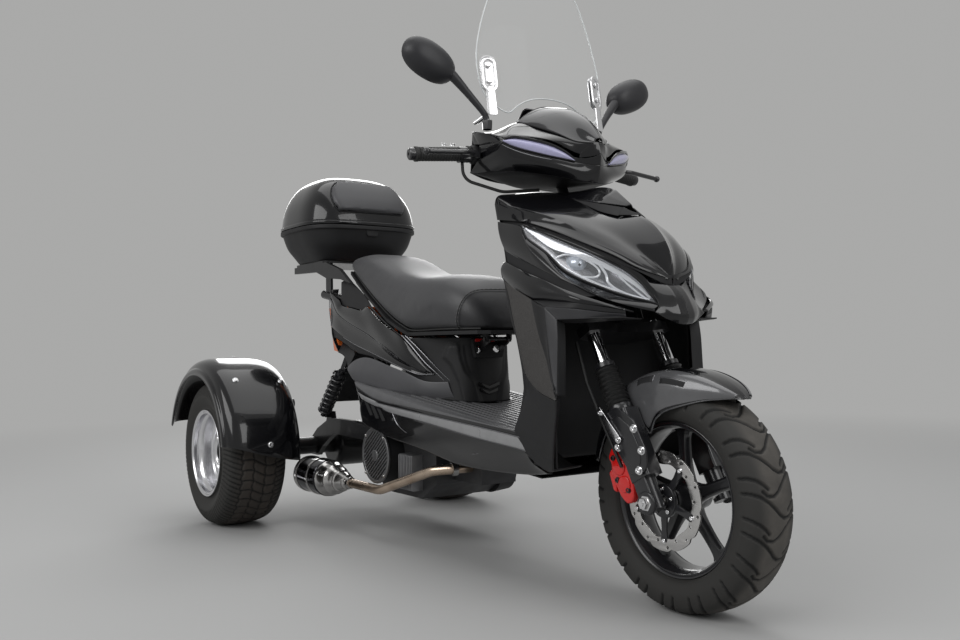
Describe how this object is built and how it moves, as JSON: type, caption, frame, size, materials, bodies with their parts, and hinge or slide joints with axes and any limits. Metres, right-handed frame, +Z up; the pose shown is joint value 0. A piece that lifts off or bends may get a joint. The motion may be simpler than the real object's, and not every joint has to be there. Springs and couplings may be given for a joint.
{
  "type": "three-wheeled motor scooter",
  "caption": "Adult trike scooter with wide rear fenders, step-through floor, long seat, top box with lid, steered front fork, twin mirrors and a tall clear windscreen.",
  "frame": {"origin": "centre of the footprint, on the ground", "axes": "+X towards the front of the vehicle, +Y to its left, +Z up"},
  "size_m": [2.1918, 1.11, 1.58],
  "materials": {
    "gloss_black_paint": "gloss",
    "black_frame": "satin",
    "matte_black": "matte",
    "dark_grey_plastic": "matte",
    "two_tone_leather": "satin",
    "grey_pad": "matte",
    "black_rubber": "matte",
    "tyre_black": "matte",
    "alloy": "satin",
    "black_alloy": "satin",
    "engine_alloy": "cast",
    "steel": "brushed",
    "chrome_trim": "polished",
    "red_paint": "gloss",
    "amber_lens": "gloss",
    "clear_lens": "clear",
    "screen_clear": "clear"
  },
  "bodies": {
    "chassis": {"main_frame": "black_frame", "engine_block": "engine_alloy", "engine_covers": "matte_black", "muffler": "steel", "exhaust_pipe": "steel", "rear_shocks": "chrome_trim", "rear_swing_frame": "black_frame", "rear_fenders": "gloss_black_paint", "fender_stays": "black_frame", "foot_deck": "dark_grey_plastic", "side_skirts": "matte_black", "seat_base_cover": "matte_black", "under_seat_bin": "matte_black", "side_panels": "gloss_black_paint", "tail_light": "amber_lens", "plate_holder": "matte_black", "grab_rail": "black_frame", "box_tub": "matte_black", "front_cowl": "gloss_black_paint", "headlights": "clear_lens", "leg_shield": "gloss_black_paint", "flank_panels": "gloss_black_paint", "wheel_well_liner": "matte_black", "belly_pan": "matte_black"},
    "steering": {"steering_stem": "black_frame", "fork_tubes": "chrome_trim", "fork_gaiters": "black_rubber", "fork_legs": "black_alloy", "front_axle": "steel", "front_fender": "gloss_black_paint", "brake_caliper": "red_paint", "handlebar": "black_frame", "grips": "black_rubber", "brake_levers": "black_alloy", "handlebar_cowl": "gloss_black_paint", "bar_lights": "clear_lens", "cowl_visor": "clear_lens", "mirrors": "matte_black", "windscreen": "screen_clear", "screen_brackets": "alloy", "control_cables": "black_rubber"},
    "front_wheel": {"front_tyre": "tyre_black", "front_rim": "black_alloy", "brake_disc": "steel"},
    "rear_wheel_right": {"rear_tyre_right": "tyre_black", "rear_rim_right": "alloy"},
    "rear_wheel_left": {"rear_tyre_left": "tyre_black", "rear_rim_left": "alloy"},
    "seat_body": {"seat_pan": "matte_black", "seat_cushion": "two_tone_leather"},
    "lid_body": {"box_lid": "gloss_black_paint", "box_pad": "grey_pad"}
  },
  "joints": [
    {"name": "steer", "type": "hinge", "parent": "chassis", "child": "steering", "pos_m": [0.8276, 0, 0.23057], "axis": [-0.4617, 0, 0.887], "range_deg": [-35, 35]},
    {"name": "front_wheel_spin", "type": "hinge", "parent": "steering", "child": "front_wheel", "pos_m": [0.85243, 0, 0.2435], "axis": [0, 1, 0], "continuous": true},
    {"name": "rear_right_spin", "type": "hinge", "parent": "chassis", "child": "rear_wheel_right", "pos_m": [-0.79757, -0.4215, 0.24], "axis": [0, 1, 0], "continuous": true},
    {"name": "rear_left_spin", "type": "hinge", "parent": "chassis", "child": "rear_wheel_left", "pos_m": [-0.79757, 0.4215, 0.24], "axis": [0, 1, 0], "continuous": true},
    {"name": "seat_tilt", "type": "hinge", "parent": "chassis", "child": "seat_body", "pos_m": [0.14543, 0, 0.598], "axis": [0, 1, 0], "range_deg": [0, 52]},
    {"name": "box_lid_tilt", "type": "hinge", "parent": "chassis", "child": "lid_body", "pos_m": [-0.57357, 0, 1.013], "axis": [0, 1, 0], "range_deg": [0, 75]}
  ]
}
